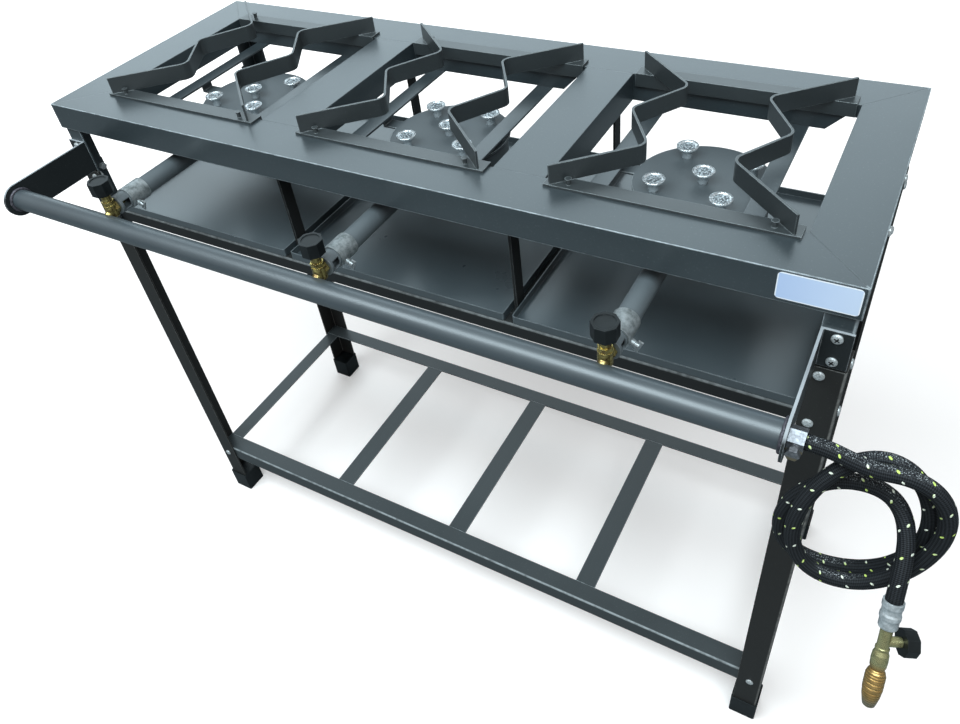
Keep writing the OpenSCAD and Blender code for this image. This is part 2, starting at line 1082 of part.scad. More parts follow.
module inlet_fitting() {
    color(zinc)
        place()
            translate([inlet_x, manifold_y, manifold_z]) {
                translate([-2 * arm_t, 0, 0])
                    rotate([0, 90, 0])
                        cylinder(r = nipple_r, h = 2 * arm_t + cut);
                rotate([0, 90, 0])
                    cylinder(d = inlet_af / cos(30), h = inlet_l, $fn = 6);
                translate([inlet_l / 2, 0, 0])
                    rotate([90, 0, 0]) {
                        cylinder(r = test_port_r / cos(30) * 0.7, h = test_port_reach);
                        translate([0, 0, test_port_reach])
                            cylinder(d = test_plug_af / cos(30), h = test_plug_h, $fn = 6);
                    }
            }
}

// Hose: it leaves the tee to the right, makes two loops, comes forward and hangs down to its
// connector. Its places are counted from where it leaves the tee.
hose_r = hose_d / 2;
hose_sides = 6;
hose_plug_l = hose_d;
lead_heading = [1, 0, 0];
lead_pulls = [21, 29];
lead_steps = 4;
loop_turns = 2;
loop_rings = 24;
loop_middle = [80, -2, -69];
loop_drift = [-12, 0, -26];
loop_half_width = [57, 1.5];
loop_half_height = [67, 36, -17];
loop_tilt = 10;
loop_depths = [1, 2, 15, 15, -17, -11, -17, -4, -18];
tail_end = [113, -42, -128];
tail_heading = [0.06, -0.44, -0.9];
tail_pulls = [58, 29];
tail_steps = 12;
small_turn = 0.001;

// A smooth value between the ones listed, with "at" counted in places along the list
function smooth_value(values, at) =
    let (
        last = len(values) - 1,
        i = min(floor(at), last - 1),
        t = at - i,
        b = values[i],
        c = values[i + 1],
        a = i > 0 ? values[i - 1] : 2 * b - c,
        d = i < last - 1 ? values[i + 2] : 2 * c - b
    )
    b + t / 2 * (c - a + t * (2 * a - 5 * b + 4 * c - d + t * (3 * b - 3 * c + d - a)));

// A point of the loops after so many turns, counted from the top
function loop_point(turn) =
    loop_middle + turn * loop_drift + [
        (loop_half_width[0] + turn * loop_half_width[1]) * sin(360 * turn),
        -smooth_value(loop_depths, 4 * turn),
        (loop_half_height[0] + turn * loop_half_height[1] + turn * turn * loop_half_height[2])
            * cos(360 * turn - loop_tilt)
    ];

// A curve from a to b that leaves a along p and reaches b along q
function curve_point(a, p, b, q, t) =
    pow(1 - t, 3) * a + 3 * t * pow(1 - t, 2) * (a + p) + 3 * t * t * (1 - t) * (b - q) + pow(t, 3) * b;

tail_way = unit(tail_heading);
lead_start = hose_plug_l * lead_heading;
tail_start = tail_end - hose_plug_l * tail_way;
loop_in = unit(loop_point(small_turn) - loop_point(0));
loop_out = unit(loop_point(loop_turns) - loop_point(loop_turns - small_turn));
hose_points = [
    [hose_sink, 0, 0],
    for (k = [0 : lead_steps - 1])
        curve_point(lead_start, lead_pulls[0] * lead_heading, loop_point(0), lead_pulls[1] * loop_in, k / lead_steps),
    for (k = [0 : loop_turns * loop_rings])
        loop_point(k / loop_rings),
    for (k = [1 : tail_steps])
        curve_point(loop_point(loop_turns), tail_pulls[0] * loop_out, tail_start, tail_pulls[1] * tail_way, k / tail_steps),
    tail_end
];

// The tube's rings stand square to the route
function ring(points, i) =
    let (
        last = len(points) - 1,
        way = unit(points[min(i + 1, last)] - points[max(i - 1, 0)]),
        side = unit(cross(way, [0, 1, 0])),
        up = cross(side, way)
    )
    [for (k = [0 : hose_sides - 1])
        let (angle = 360 * k / hose_sides)
        points[i] + hose_r * (cos(angle) * side + sin(angle) * up)];

module tube(points) {
    last = len(points) - 1;
    n = hose_sides;
    polyhedron(
        points = [for (i = [0 : last]) each ring(points, i)],
        faces = concat(
            [for (k = [1 : n - 2]) [0, k, k + 1]],
            [for (k = [1 : n - 2]) [last * n, last * n + k + 1, last * n + k]],
            [for (i = [0 : last - 1])
                for (k = [0 : n - 1])
                    each [
                        [i * n + k, (i + 1) * n + k, i * n + (k + 1) % n],
                        [i * n + (k + 1) % n, (i + 1) * n + k, (i + 1) * n + (k + 1) % n]
                    ]]
        )
    );
}

// The least gap between stretches of the hose that lie some rings apart along it
apart_rings = 5;
hose_gap = min([
    for (i = [0 : len(hose_points) - 1])
        for (j = [i + apart_rings : 1 : len(hose_points) - 1])
            norm(hose_points[i] - hose_points[j])
]) - hose_d;
hose_length = sum_of([for (i = [1 : len(hose_points) - 1]) norm(hose_points[i] - hose_points[i - 1])]);

function sum_of(list, i = 0) = i < len(list) ? list[i] + sum_of(list, i + 1) : 0;

module at_hose() {
    translate([inlet_x + inlet_l - hose_sink, manifold_y, manifold_z])
        children();
}

// Stands on the hose's lower end, along the connector
module at_connector(reach) {
    at_hose()
        along(tail_end + reach * tail_way, tail_way)
            children();
}

module gas_hose() {
    echo("least gap of the hose to itself, mm", hose_gap);
    echo("length of the hose, mm", hose_length);
    color(plastic)
        place()
            at_hose()
                tube(hose_points);
}

// Crimped ferrule, connector and its hand wheel
ferrule_r = 9.7;
ferrule_l = 29;
crimp_depth = 0.8;
connector_l = 90;
connector_r = 9.4;
hand_wheel_at = 16;
hand_wheel_turn = 20;
hand_boss_r = 5;
hand_boss_l = 16;
hand_stem_r = 2.5;
hand_stem_l = 10;
hand_wheel_af = 25;
hand_wheel_h = 12;

module hose_ferrule() {
    band_shares = [[0.94, 0], [1, 0.05], [1, 0.2], [0, 0.28], [0, 0.42], [1, 0.5], [1, 0.62], [0, 0.7], [0, 0.95]];
    color(zinc)
        place()
            at_connector(0)
                rotate_extrude()
                    polygon(concat(
                        [[0, 0]],
                        [for (share = band_shares) [
                            ferrule_r - crimp_depth * (1 - share.x),
                            ferrule_l * share.y
                        ]],
                        [[ferrule_r - 2 * crimp_depth, ferrule_l], [0, ferrule_l]]
                    ));
}

module hose_connector() {
    // Radius and place along the connector, in shares of its largest radius and its length
    outline_shares = [
        [0.60, 0.00], [0.60, 0.24], [0.70, 0.25], [0.70, 0.27], [0.62, 0.28], [0.80, 0.33],
        [0.84, 0.40], [0.80, 0.48], [0.66, 0.52], [0.86, 0.55], [1.00, 0.60], [0.90, 0.61],
        [1.00, 0.63], [1.00, 0.66], [0.90, 0.67], [1.00, 0.69], [1.00, 0.72], [0.90, 0.73],
        [1.00, 0.75], [0.98, 0.78], [0.88, 0.79], [0.94, 0.81], [0.90, 0.85], [0.72, 0.94],
        [0.62, 0.98], [0.40, 1.00]
    ];
    color(brass)
        place()
            at_connector(ferrule_l)
                difference() {
                    union() {
                        rotate_extrude()
                            polygon(concat(
                                [[0, 0]],
                                [for (share = outline_shares) [connector_r * share.x, connector_l * share.y]],
                                [[0, connector_l]]
                            ));
                        at_hand_wheel()
                            cylinder(r = hand_boss_r, h = hand_boss_l);
                    }
                    at_hand_wheel()
                        translate([0, 0, hand_boss_l - hand_stem_l])
                            cylinder(r = hand_stem_r + turn_gap, h = hand_stem_l + cut);
                }
}

module at_hand_wheel() {
    translate([0, 0, hand_wheel_at])
        rotate([0, 0, -hand_wheel_turn])
            rotate([-90, 0, 0])
                children();
}

module connector_knob() {
    color(plastic)
        place()
            at_connector(ferrule_l)
                at_hand_wheel() {
                    translate([0, 0, hand_boss_l - hand_stem_l + seat_gap])
                        cylinder(r = hand_stem_r, h = hand_stem_l + cut);
                    translate([0, 0, hand_boss_l + seat_gap])
                        cylinder(d = hand_wheel_af / cos(22.5), h = hand_wheel_h, $fn = 8);
                }
}

// All bolts
module bolts() {
    color(zinc)
        place() {
            at_all_corners() {
                leg_bolts_at(leg_top - leg_bolt_inset)
                    bolt(leg_t + stub_t);
                tray_bolt_places()
                    bolt(leg_t + stub_t + tray_rail_t);
                shelf_bolt_places()
                    bolt(leg_t + shelf_t);
            }
            for (right = [false, true])
                at_corner(right, false) {
                    flange_bolt_places()
                        bolt(arm_t + stub_t);
                    frame_bolt_places()
                        mirror([1, 0, 0])
                            bolt(sheet_t);
                }
        }
}

frame_front();
frame_back();
frame_left();
frame_right();
frame_dividers();
leg_stubs();
leg(false, false);  // leg_front_left
leg(true, false);  // leg_front_right
leg(false, true);  // leg_back_left
leg(true, true);  // leg_back_right
foot(false, false);  // foot_front_left
foot(true, false);  // foot_front_right
foot(false, true);  // foot_back_left
foot(true, true);  // foot_back_right
shelf_front();
shelf_back();
shelf_left();
shelf_right();
shelf_bars();
tray_rail_front();
tray_rail_back();
tray_rail_left();
tray_rail_right();
tray_runner(1);  // tray_runner_1
tray_runner(2);  // tray_runner_2
tray_hangers();
drip_tray(1);  // drip_tray_1
drip_tray(2);  // drip_tray_2
drip_tray(3);  // drip_tray_3
grate(1);  // grate_1
grate(2);  // grate_2
grate(3);  // grate_3
burner(1);  // burner_1
burner(2);  // burner_2
burner(3);  // burner_3
burner_caps(1);  // burner_caps_1
burner_caps(2);  // burner_caps_2
burner_caps(3);  // burner_caps_3
burner_straps();
air_shutter(1);  // air_shutter_1
air_shutter(2);  // air_shutter_2
air_shutter(3);  // air_shutter_3
wing_screw(1);  // wing_screw_1
wing_screw(2);  // wing_screw_2
wing_screw(3);  // wing_screw_3
valve(1);  // valve_1
valve(2);  // valve_2
valve(3);  // valve_3
valve_knob(1);  // valve_knob_1
valve_knob(2);  // valve_knob_2
valve_knob(3);  // valve_knob_3
manifold();
bracket_left();
bracket_right();
inlet_fitting();
gas_hose();
hose_ferrule();
hose_connector();
connector_knob();
bolts();
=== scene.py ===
import math
import bmesh
import bpy
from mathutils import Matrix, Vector


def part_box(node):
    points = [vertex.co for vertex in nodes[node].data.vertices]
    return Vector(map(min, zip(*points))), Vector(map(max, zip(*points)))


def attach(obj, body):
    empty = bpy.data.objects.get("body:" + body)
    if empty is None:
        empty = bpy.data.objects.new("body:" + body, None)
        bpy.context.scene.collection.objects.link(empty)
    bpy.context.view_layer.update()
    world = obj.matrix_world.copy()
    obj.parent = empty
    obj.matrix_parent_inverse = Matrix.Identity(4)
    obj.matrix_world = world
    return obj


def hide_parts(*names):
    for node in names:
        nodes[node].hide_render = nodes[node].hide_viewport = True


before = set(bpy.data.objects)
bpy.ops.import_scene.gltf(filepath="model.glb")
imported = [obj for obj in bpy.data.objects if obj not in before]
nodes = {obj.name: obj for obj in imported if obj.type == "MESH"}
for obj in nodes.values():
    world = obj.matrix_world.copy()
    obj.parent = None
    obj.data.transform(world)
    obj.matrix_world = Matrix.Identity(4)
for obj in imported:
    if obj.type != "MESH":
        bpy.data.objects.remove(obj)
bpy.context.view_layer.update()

scene = bpy.context.scene


cameraSet = {
    "place": (0.5978, -0.7877, 1.4741),
    "turn": (48.693, 5.578, 28.592),  # degrees
    "lens": 30.262, "sensor": 36,
    "shift": (-0.01178, -0.0557),
    "clip": (0.02, 60),
}


def makeCamera():
    s = cameraSet
    bpy.ops.object.camera_add(location=s["place"], rotation=[math.radians(a) for a in s["turn"]])
    cam = bpy.context.object
    cam.name = "photoCamera"
    cam.data.lens = s["lens"]
    cam.data.sensor_width = s["sensor"]
    cam.data.shift_x, cam.data.shift_y = s["shift"]
    cam.data.clip_start, cam.data.clip_end = s["clip"]
    scene.camera = cam


makeCamera()
print("camera ready")


hoseSet = {
    "start": (0.568, -0.265, 0.874),  # inside the tee, where the route is counted from
    "sink": 0.005,  # the tee hides this much of it
    "radius": 0.008,
    "plug": 0.016,  # straight length at both ends
    "middle": (80, -2, -69),  # of the loops, from the start; lengths are in mm from here on
    "drift": (-12, 0, -26),  # how far the loops wander in one turn
    "halfWidth": (57, 1.5),  # and what each turn adds
    "halfHeight": (67, 36, -17),  # and what each turn and its square add
    "tilt": 10,  # degrees the loops lean
    "depths": (1, 2, 15, 15, -17, -11, -17, -4, -18),  # in front of the middle at each quarter turn
    "leadPulls": (21, 29),  # how long the bends into and out of the loops keep their heading
    "tailPulls": (58, 29),
    "tailEnd": (113, -42, -128),
    "tailHeading": (0.06, -0.44, -0.9),
    "leadSteps": 14, "turnSteps": 90, "tailSteps": 36, "endSteps": 4,
    "sides": 20,
}


def smoothValue(values, at):
    # a smooth line through evenly spaced values
    last = len(values) - 1
    i = min(int(math.floor(at)), last - 1)
    t = at - i
    b, c = values[i], values[i + 1]
    a = values[i - 1] if i > 0 else 2 * b - c
    d = values[i + 2] if i < last - 1 else 2 * c - b
    return b + t / 2 * (c - a + t * (2 * a - 5 * b + 4 * c - d + t * (3 * b - 3 * c + d - a)))


def loopPoint(turn):
    s = hoseSet
    angle = math.radians(360 * turn)
    x = (s["halfWidth"][0] + turn * s["halfWidth"][1]) * math.sin(angle)
    y = -smoothValue(s["depths"], 4 * turn)
    h = s["halfHeight"]
    z = (h[0] + turn * h[1] + turn * turn * h[2]) * math.cos(angle - math.radians(s["tilt"]))
    return Vector(s["middle"]) + turn * Vector(s["drift"]) + Vector((x, y, z))


def bendPoint(a, p, b, q, t):
    # between a and b, leaving along p and arriving along q
    return (1 - t) ** 3 * a + 3 * t * (1 - t) ** 2 * (a + p) + 3 * t * t * (1 - t) * (b - q) + t ** 3 * b


def hoseRoute():
    s = hoseSet
    turns, nudge = 2, 0.001
    plug, sink = s["plug"] * 1000, s["sink"] * 1000
    leadWay = Vector((1, 0, 0))
    tailWay = Vector(s["tailHeading"]).normalized()
    tailEnd = Vector(s["tailEnd"])
    loopStart, loopEnd = loopPoint(0), loopPoint(turns)
    loopIn = (loopPoint(nudge) - loopStart).normalized()
    loopOut = (loopEnd - loopPoint(turns - nudge)).normalized()
    lead = (leadWay * plug, s["leadPulls"][0] * leadWay, loopStart, s["leadPulls"][1] * loopIn)
    tail = (loopEnd, s["tailPulls"][0] * loopOut, tailEnd - plug * tailWay, s["tailPulls"][1] * tailWay)
    pts = [leadWay * (sink + (plug - sink) * k / 3) for k in range(3)]
    pts += [bendPoint(*lead, k / s["leadSteps"]) for k in range(s["leadSteps"])]
    pts += [loopPoint(k / s["turnSteps"]) for k in range(turns * s["turnSteps"] + 1)]
    pts += [bendPoint(*tail, k / s["tailSteps"]) for k in range(1, s["tailSteps"] + 1)]
    pts += [tailEnd - plug * (1 - k / s["endSteps"]) * tailWay for k in range(1, s["endSteps"] + 1)]
    return [Vector(s["start"]) + p / 1000 for p in pts]


def makeTube(name, pts, radius, sides):
    # rings square to the route; the UV map runs round the tube and along it in metres
    bm = bmesh.new()
    uv = bm.loops.layers.uv.new("along")
    angles = [2 * math.pi * k / sides for k in range(sides)]
    rings, dist, run = [], [], 0.0
    for i, p in enumerate(pts):
        way = (pts[min(i + 1, len(pts) - 1)] - pts[max(i - 1, 0)]).normalized()
        side = way.cross(Vector((0, 1, 0))).normalized()
        up = side.cross(way)
        if i:
            run += (p - pts[i - 1]).length
        dist.append(run)
        rings.append([bm.verts.new(p + radius * (math.cos(a) * side + math.sin(a) * up)) for a in angles])
    for i in range(len(pts) - 1):
        for k in range(sides):
            j = (k + 1) % sides
            face = bm.faces.new((rings[i][k], rings[i + 1][k], rings[i + 1][j], rings[i][j]))
            face.smooth = True
            corners = ((k, dist[i]), (k, dist[i + 1]), (k + 1, dist[i + 1]), (k + 1, dist[i]))
            for loop, (u, v) in zip(face.loops, corners):
                loop[uv].uv = (u / sides, v)
    bm.faces.new(rings[0])
    bm.faces.new(list(reversed(rings[-1])))
    bmesh.ops.recalc_face_normals(bm, faces=bm.faces)
    mesh = bpy.data.meshes.new(name)
    bm.to_mesh(mesh)
    bm.free()
    obj = bpy.data.objects.new(name, mesh)
    scene.collection.objects.link(obj)
    return obj, run


route = hoseRoute()
hose, hoseLength = makeTube("braidedHose", route, hoseSet["radius"], hoseSet["sides"])
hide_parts("gas_hose")
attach(hose, "frame")
print("hose ready, length", round(hoseLength, 3))


def feed(tree, socket, value):
    # links a socket, or sets a plain number or colour
    if isinstance(value, bpy.types.NodeSocket):
        tree.links.new(value, socket)
    elif socket.type == "RGBA":
        socket.default_value = (*value, 1)
    else:
        socket.default_value = value


def addNode(tree, kind, inputs=None, **properties):
    node = tree.nodes.new(kind)
    for key, value in properties.items():
        setattr(node, key, value)
    for slot, value in (inputs or {}).items():
        feed(tree, node.inputs[slot], value)
    return node


def calc(tree, operation, *values):
    return addNode(tree, "ShaderNodeMath", dict(enumerate(values)), operation=operation).outputs[0]


def remap(tree, value, start, end, low=0.0, high=1.0):
    # low where the value is at start, high at end, and steady past them
    limits = {"From Min": start, "From Max": end, "To Min": low, "To Max": high}
    return addNode(tree, "ShaderNodeMapRange", {"Value": value, **limits}).outputs[0]


def noise(tree, vector, scale, detail=2.0, roughness=0.5):
    inputs = {"Vector": vector, "Scale": scale, "Detail": detail, "Roughness": roughness}
    return addNode(tree, "ShaderNodeTexNoise", inputs).outputs["Fac"]


def axes(tree, vector):
    return addNode(tree, "ShaderNodeSeparateXYZ", {0: vector}).outputs


def facingUp(tree):
    # one where a face looks straight up, nought where it stands upright
    return axes(tree, addNode(tree, "ShaderNodeNewGeometry").outputs["Normal"])[2]


def mixColour(tree, factor, a, b):
    return addNode(tree, "ShaderNodeMix", {0: factor, 6: a, 7: b}, data_type="RGBA").outputs[2]


def bumpOn(tree, shader, height, bump, normal=None):
    inputs = {"Height": height, "Strength": bump[0], "Distance": bump[1]}
    if normal is not None:
        inputs["Normal"] = normal
    tree.links.new(addNode(tree, "ShaderNodeBump", inputs).outputs[0], shader.inputs["Normal"])


def newMaterial(name):
    mat = bpy.data.materials.new(name)
    mat.use_nodes = True
    tree = mat.node_tree
    place = addNode(tree, "ShaderNodeTexCoord").outputs["Object"]
    return mat, tree, tree.nodes["Principled BSDF"], place


def newGroup(name, inputs, outputs):
    # inputs are vectors where their value is None, and numbers otherwise
    group = bpy.data.node_groups.new(name, "ShaderNodeTree")
    for label, value in inputs.items():
        kind = "NodeSocketVector" if value is None else "NodeSocketFloat"
        socket = group.interface.new_socket(label, in_out="INPUT", socket_type=kind)
        if value is not None:
            socket.default_value = value
    for label in outputs:
        kind = "NodeSocketVector" if label == "Normal" else "NodeSocketFloat"
        group.interface.new_socket(label, in_out="OUTPUT", socket_type=kind)
    return group, group.nodes.new("NodeGroupInput").outputs, group.nodes.new("NodeGroupOutput").inputs


def useGroup(tree, group, place, **inputs):
    return addNode(tree, "ShaderNodeGroup", {"Vector": place, **inputs}, node_tree=group).outputs


edgeWearAndHighlightSet = {
    "sharp": (0.995, 0.9),  # cosine of the rounded normal's lean, from untouched to full wear and painted highlight
    "bent": (0.985, 0.88),  # the same for a face's lean from the nearest axis
    "chips": 110.0, "chipDetail": 3.0, "chipRange": (0.3, 0.6), "leastChip": 0.35,
    "samples": 4,
}


def makeEdgeWearAndHighlight():
    # a soft rounded normal at sharp edges, a broken mask along them for worn edges and painted edge
    # highlights, and a painted highlight mask along round folds
    s = edgeWearAndHighlightSet
    group, given, out = newGroup("edgeWearAndHighlight", {"Vector": None, "Radius": 0.0008}, ("WornAndLitEdge", "FoldHighlight", "Normal"))
    face = addNode(group, "ShaderNodeNewGeometry").outputs
    bevel = addNode(group, "ShaderNodeBevel", {"Radius": given["Radius"]}, samples=s["samples"]).outputs[0]
    inputs = {0: bevel, 1: face["Normal"]}
    lean = addNode(group, "ShaderNodeVectorMath", inputs, operation="DOT_PRODUCT").outputs["Value"]
    chips = noise(group, given["Vector"], s["chips"], s["chipDetail"])
    broken = remap(group, chips, *s["chipRange"], s["leastChip"])
    flat = {0: face["True Normal"]}
    size = axes(group, addNode(group, "ShaderNodeVectorMath", flat, operation="ABSOLUTE").outputs[0])
    most = calc(group, "MAXIMUM", calc(group, "MAXIMUM", size[0], size[1]), size[2])
    feed(group, out["WornAndLitEdge"], calc(group, "MULTIPLY", remap(group, lean, *s["sharp"]), broken))
    feed(group, out["FoldHighlight"], calc(group, "MULTIPLY", remap(group, most, *s["bent"]), broken))
    feed(group, out["Normal"], bevel)
    return group


skinSet = {
    "peel": 900.0,  # orange peel, in waves per metre as all the scales here
    "cloud": 9.0, "cloudDetail": 4.0, "cloudRough": 0.6, "cloudRange": (0.3, 0.7),
    "dust": 420.0, "dustDetail": 3.0, "dustRough": 0.7, "dustRange": (0.62, 0.74),
    "shade": 0.9, "dustShare": 0.1,  # the darkest cloud, and how much of the edge colour the dust has
    "coatRough": 0.22, "bump": (0.12, 0.0002),
}


def makePaintGrain():
    # the sprayed skin of paint: fine orange peel, faint cloudiness and a little dust
    s = skinSet
    inputs = {"Vector": None, "Peel": s["peel"]}
    group, given, out = newGroup("paintGrain", inputs, ("Tone", "Height", "Dust"))
    place = given["Vector"]
    cloud = noise(group, place, s["cloud"], s["cloudDetail"], s["cloudRough"])
    dust = noise(group, place, s["dust"], s["dustDetail"], s["dustRough"])
    feed(group, out["Tone"], remap(group, cloud, *s["cloudRange"]))
    feed(group, out["Height"], noise(group, place, given["Peel"]))
    feed(group, out["Dust"], remap(group, dust, *s["dustRange"]))
    return group


platingSet = {
    "blotch": 300.0, "blotchDetail": 5.0, "blotchRough": 0.65, "blotchRange": (0.35, 0.65),
    "scratch": 900.0, "drawn": (1.0, 1.0, 14.0),  # scratches lie level
    "edgeRadius": 0.0005, "edgeShare": 0.4, "edgeLight": 1.35, "bump": (0.15, 0.0002),
}


def makeMetalGrain():
    # scratches and plating blotches of bare or plated metal
    s = platingSet
    group, given, out = newGroup("metalGrain", {"Vector": None, "Scale": s["blotch"]}, ("Blotch", "Scratch"))
    place = given["Vector"]
    drawn = addNode(group, "ShaderNodeMapping", {"Vector": place, "Scale": s["drawn"]}).outputs[0]
    feed(group, out["Blotch"], noise(group, place, given["Scale"], s["blotchDetail"], s["blotchRough"]))
    feed(group, out["Scratch"], noise(group, drawn, s["scratch"]))
    return group


edgeWearAndHighlight = makeEdgeWearAndHighlight()
paintGrain = makePaintGrain()
metalGrain = makeMetalGrain()


# sharp edges take the edge colour as wear and painted highlight, by the first key after edge, and the bends
# as painted highlight, by the second; round is the edges' radius
paintSet = {
    "graphite": {
        "colour": (0.026, 0.036, 0.041), "edge": (0.60, 0.66, 0.69), "wornAndLit": 1.0, "foldHighlight": 0.6,
        "rough": (0.35, 0.39), "shine": 0.9, "coat": 0.35, "round": 0.0022,
        "border": 0.004, "joints": 0.12,  # width of its outer border, which keeps the full painted highlight, and how much of it the joints and the rest keep
    },
    "gratePaint": {
        "colour": (0.026, 0.032, 0.034), "edge": (0.34, 0.38, 0.39), "wornAndLit": 0.75, "foldHighlight": 0.0,
        "rough": (0.38, 0.46), "shine": 0.9, "coat": 0.2, "round": 0.0011,
    },
    "bracketPaint": {
        "colour": (0.014, 0.017, 0.018), "edge": (0.44, 0.46, 0.48), "wornAndLit": 0.9, "foldHighlight": 0.0,
        "rough": (0.40, 0.50), "shine": 0.4, "coat": 0.0, "round": 0.0014,
        "upward": (0.5, 0.7), "litShare": (0.45, 0.9),  # which faces look up, and how much painted highlight they take
    },
    "shelfPaint": {
        "colour": (0.035, 0.042, 0.044), "edge": (0.46, 0.50, 0.51), "wornAndLit": 0.9, "foldHighlight": 0.6,
        "rough": (0.40, 0.50), "shine": 0.5, "coat": 0.1, "round": 0.0012,
    },
    "legPaint": {
        "colour": (0.027, 0.0265, 0.025), "edge": (0.30, 0.29, 0.27), "wornAndLit": 0.8, "foldHighlight": 0.7,
        "rough": (0.45, 0.56), "shine": 0.2, "coat": 0.0, "round": 0.0012,
    },
    # a darker copy of the same paint: painted shade on the tray runners under the top
    "shadedPaint": {
        "colour": (0.018, 0.019, 0.019), "edge": (0.24, 0.25, 0.25), "wornAndLit": 0.9, "foldHighlight": 0.5,
        "rough": (0.45, 0.56), "shine": 0.16, "coat": 0.0, "round": 0.0010,
    },
    "burnerPaint": {
        "colour": (0.062, 0.074, 0.080), "edge": (0.46, 0.49, 0.50), "wornAndLit": 0.9, "foldHighlight": 0.0,
        "rough": (0.40, 0.50), "shine": 0.7, "coat": 0.0, "round": 0.0018,
        "litFront": (-0.085, -0.2), "pale": (0.135, 0.155, 0.165), "litFrontShare": 0.75,  # painted light, paler to the front
    },
    "pipePaint": {
        "colour": (0.040, 0.053, 0.061), "edge": (0.18, 0.21, 0.23), "wornAndLit": 0.5, "foldHighlight": 0.0,
        "rough": (0.40, 0.47), "shine": 1.0, "coat": 0.25, "round": 0.0009,
    },
    "trayPaint": {
        "colour": (0.044, 0.056, 0.062), "edge": (0.15, 0.18, 0.19), "wornAndLit": 0.6, "foldHighlight": 0.4,
        "rough": (0.27, 0.30), "shine": 0.9, "coat": 0.3, "round": 0.0012,
    },
}


def outerFoldHighlight(tree, place, edge):
    # the top frame keeps its painted highlight along its outer folds; its joints are filled and painted
    # over, and they and the rest keep only a little of it
    s = paintSet["graphite"]
    boxes = [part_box(name) for name in nodes if name.startswith("frame_")]
    where = axes(tree, place)
    litShare = s["joints"]
    for axis in (0, 1):
        for limit in (min(low[axis] for low, high in boxes), max(high[axis] for low, high in boxes)):
            off = calc(tree, "ABSOLUTE", calc(tree, "SUBTRACT", where[axis], limit))
            litShare = calc(tree, "MAXIMUM", litShare, calc(tree, "LESS_THAN", off, s["border"]))
    return calc(tree, "MULTIPLY", edge, litShare)


def litUpperFaces(tree, tone, base):
    # a painted highlight on the brackets' narrow upper faces, where the light falls, patchy with the paint's
    # tone
    s = paintSet["bracketPaint"]
    up = remap(tree, facingUp(tree), *s["upward"])
    amount = calc(tree, "MULTIPLY", up, remap(tree, tone, 0.0, 1.0, *s["litShare"]))
    return mixColour(tree, amount, base, s["edge"])


def litInFront(tree, place, base):
    # painted light and shade: the mixer pipes are painted pale by the shutters, where the light reaches
    # them, and darker under the frame, in its shade
    s = paintSet["burnerPaint"]
    near = remap(tree, axes(tree, place)[1], *s["litFront"], 0.0, s["litFrontShare"])
    return mixColour(tree, near, base, s["pale"])


def makePaint(name):
    s = paintSet[name]
    mat, tree, shader, place = newMaterial(name)
    grain = useGroup(tree, paintGrain, place, Peel=skinSet["peel"])
    edgeMasks = useGroup(tree, edgeWearAndHighlight, place, Radius=s["round"])
    dark = tuple(skinSet["shade"] * c for c in s["colour"])
    base = mixColour(tree, grain["Tone"], dark, s["colour"])
    base = mixColour(tree, calc(tree, "MULTIPLY", grain["Dust"], skinSet["dustShare"]), base, s["edge"])
    # the sharp edges take the edge colour, part wear and part painted highlight, and the bends below take it
    # as painted highlight
    edge = calc(tree, "MULTIPLY", edgeMasks["WornAndLitEdge"], s["wornAndLit"])
    if name == "graphite":
        edge = outerFoldHighlight(tree, place, edge)
    base = mixColour(tree, edge, base, s["edge"])
    if s["foldHighlight"]:
        base = mixColour(tree, calc(tree, "MULTIPLY", edgeMasks["FoldHighlight"], s["foldHighlight"]), base, s["edge"])
    if name == "burnerPaint":
        base = litInFront(tree, place, base)
    if name == "bracketPaint":
        base = litUpperFaces(tree, grain["Tone"], base)
    feed(tree, shader.inputs["Base Color"], base)
    feed(tree, shader.inputs["Roughness"], remap(tree, grain["Tone"], 0.0, 1.0, *s["rough"]))
    shader.inputs["Specular IOR Level"].default_value = s["shine"]
    shader.inputs["Coat Weight"].default_value = s["coat"]
    shader.inputs["Coat Roughness"].default_value = skinSet["coatRough"]
    bumpOn(tree, shader, grain["Height"], skinSet["bump"], edgeMasks["Normal"])
    return mat


# scale is how fine the plating's blotches are, and metal how metallic the surface looks
metalSet = {
    "zinc": {
        "colour": (0.84, 0.87, 0.88), "dark": (0.34, 0.36, 0.35),
        "rough": (0.24, 0.45), "scale": 480.0, "metal": 0.5,
    },
    "fittingZinc": {
        "colour": (0.30, 0.31, 0.33), "dark": (0.13, 0.13, 0.14),
        "rough": (0.34, 0.50), "scale": 260.0, "metal": 0.8,
        "below": (0.8725, 0.8705), "browned": (0.24, 0.20, 0.13),  # heights where its plug turns brown
    },
    "ferruleZinc": {
        "colour": (0.72, 0.76, 0.78), "dark": (0.40, 0.44, 0.45),
        "rough": (0.24, 0.40), "scale": 200.0, "metal": 0.6,
    },
    "wingZinc": {
        "colour": (0.55, 0.58, 0.59), "dark": (0.20, 0.21, 0.21),
        "rough": (0.34, 0.50), "scale": 420.0, "metal": 0.7,
    },
    "sleeveZinc": {
        "colour": (0.44, 0.47, 0.48), "dark": (0.17, 0.19, 0.19),
        "rough": (0.38, 0.55), "scale": 120.0, "metal": 0.6,
    },
    "recessDark": {
        "colour": (0.030, 0.030, 0.030), "dark": (0.012, 0.012, 0.012),
        "rough": (0.5, 0.7), "scale": 500.0, "metal": 0.5,
    },
    "weldMetal": {
        "colour": (0.13, 0.12, 0.14), "dark": (0.04, 0.04, 0.05),
        "rough": (0.4, 0.65), "scale": 260.0, "metal": 0.5,
    },
    "brass": {
        "colour": (0.58, 0.48, 0.17), "dark": (0.14, 0.085, 0.035),
        "rough": (0.14, 0.34), "scale": 190.0, "metal": 0.85,
    },
}


def brownPlug(tree, place, base):
    # the test plug under the tee is browned
    s = metalSet["fittingZinc"]
    return mixColour(tree, remap(tree, axes(tree, place)[2], *s["below"]), base, s["browned"])


